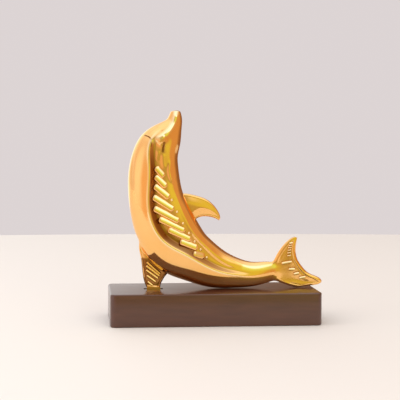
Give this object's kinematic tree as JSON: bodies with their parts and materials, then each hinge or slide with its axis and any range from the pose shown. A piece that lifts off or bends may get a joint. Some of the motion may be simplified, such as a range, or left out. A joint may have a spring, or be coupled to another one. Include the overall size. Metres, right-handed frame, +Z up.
{
  "type": "metal dolphin figurine",
  "caption": "Polished gold-coloured cast metal dolphin, arched on its lower fin and belly with its beak up and its tail out behind, on a dark brown satin block.",
  "frame": {"origin": "centre of the plinth's underside, where the ornament rests on a table or shelf", "axes": "+Z up through the ornament, +X along the plinth towards the dolphin's tail, Y across the plinth; the dolphin's mirror plane is Y = 0"},
  "size_m": [0.1867, 0.061, 0.1838],
  "materials": {
    "polished_gold": "mirror-polished gold-coloured plating on cast metal",
    "dark_brown_satin": "smooth dark brown satin lacquer"
  },
  "bodies": {
    "root": {"dolphin": "polished_gold", "plinth": "dark_brown_satin"}
  },
  "joints": []
}
